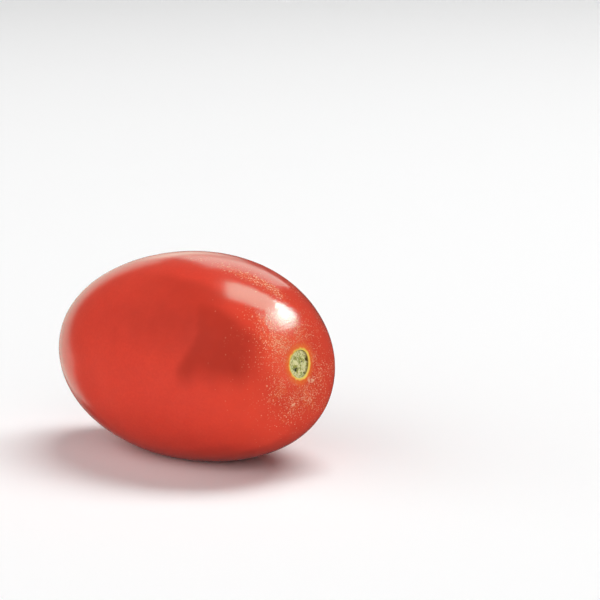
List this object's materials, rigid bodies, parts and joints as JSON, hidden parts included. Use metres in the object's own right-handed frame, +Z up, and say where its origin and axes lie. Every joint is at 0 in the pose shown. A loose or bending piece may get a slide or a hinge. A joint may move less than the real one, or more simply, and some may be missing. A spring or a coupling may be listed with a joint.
{
  "type": "plum tomato",
  "caption": "Ripe plum tomato as picked, lying on its side: a long oval with a blunt stem end, a sunk corky stem scar and a low blossom tip.",
  "frame": {"origin": "middle of the flat resting spot under the girth, on the surface that the fruit lies on", "axes": "+X along the fruit's length, out of its stem end; +Z up"},
  "size_m": [0.0747, 0.0499, 0.0492],
  "materials": {
    "skin": "smooth waxy red fruit skin, with a matte corky scar at the stem end"
  },
  "bodies": {
    "root": {"fruit": "skin"}
  },
  "joints": []
}
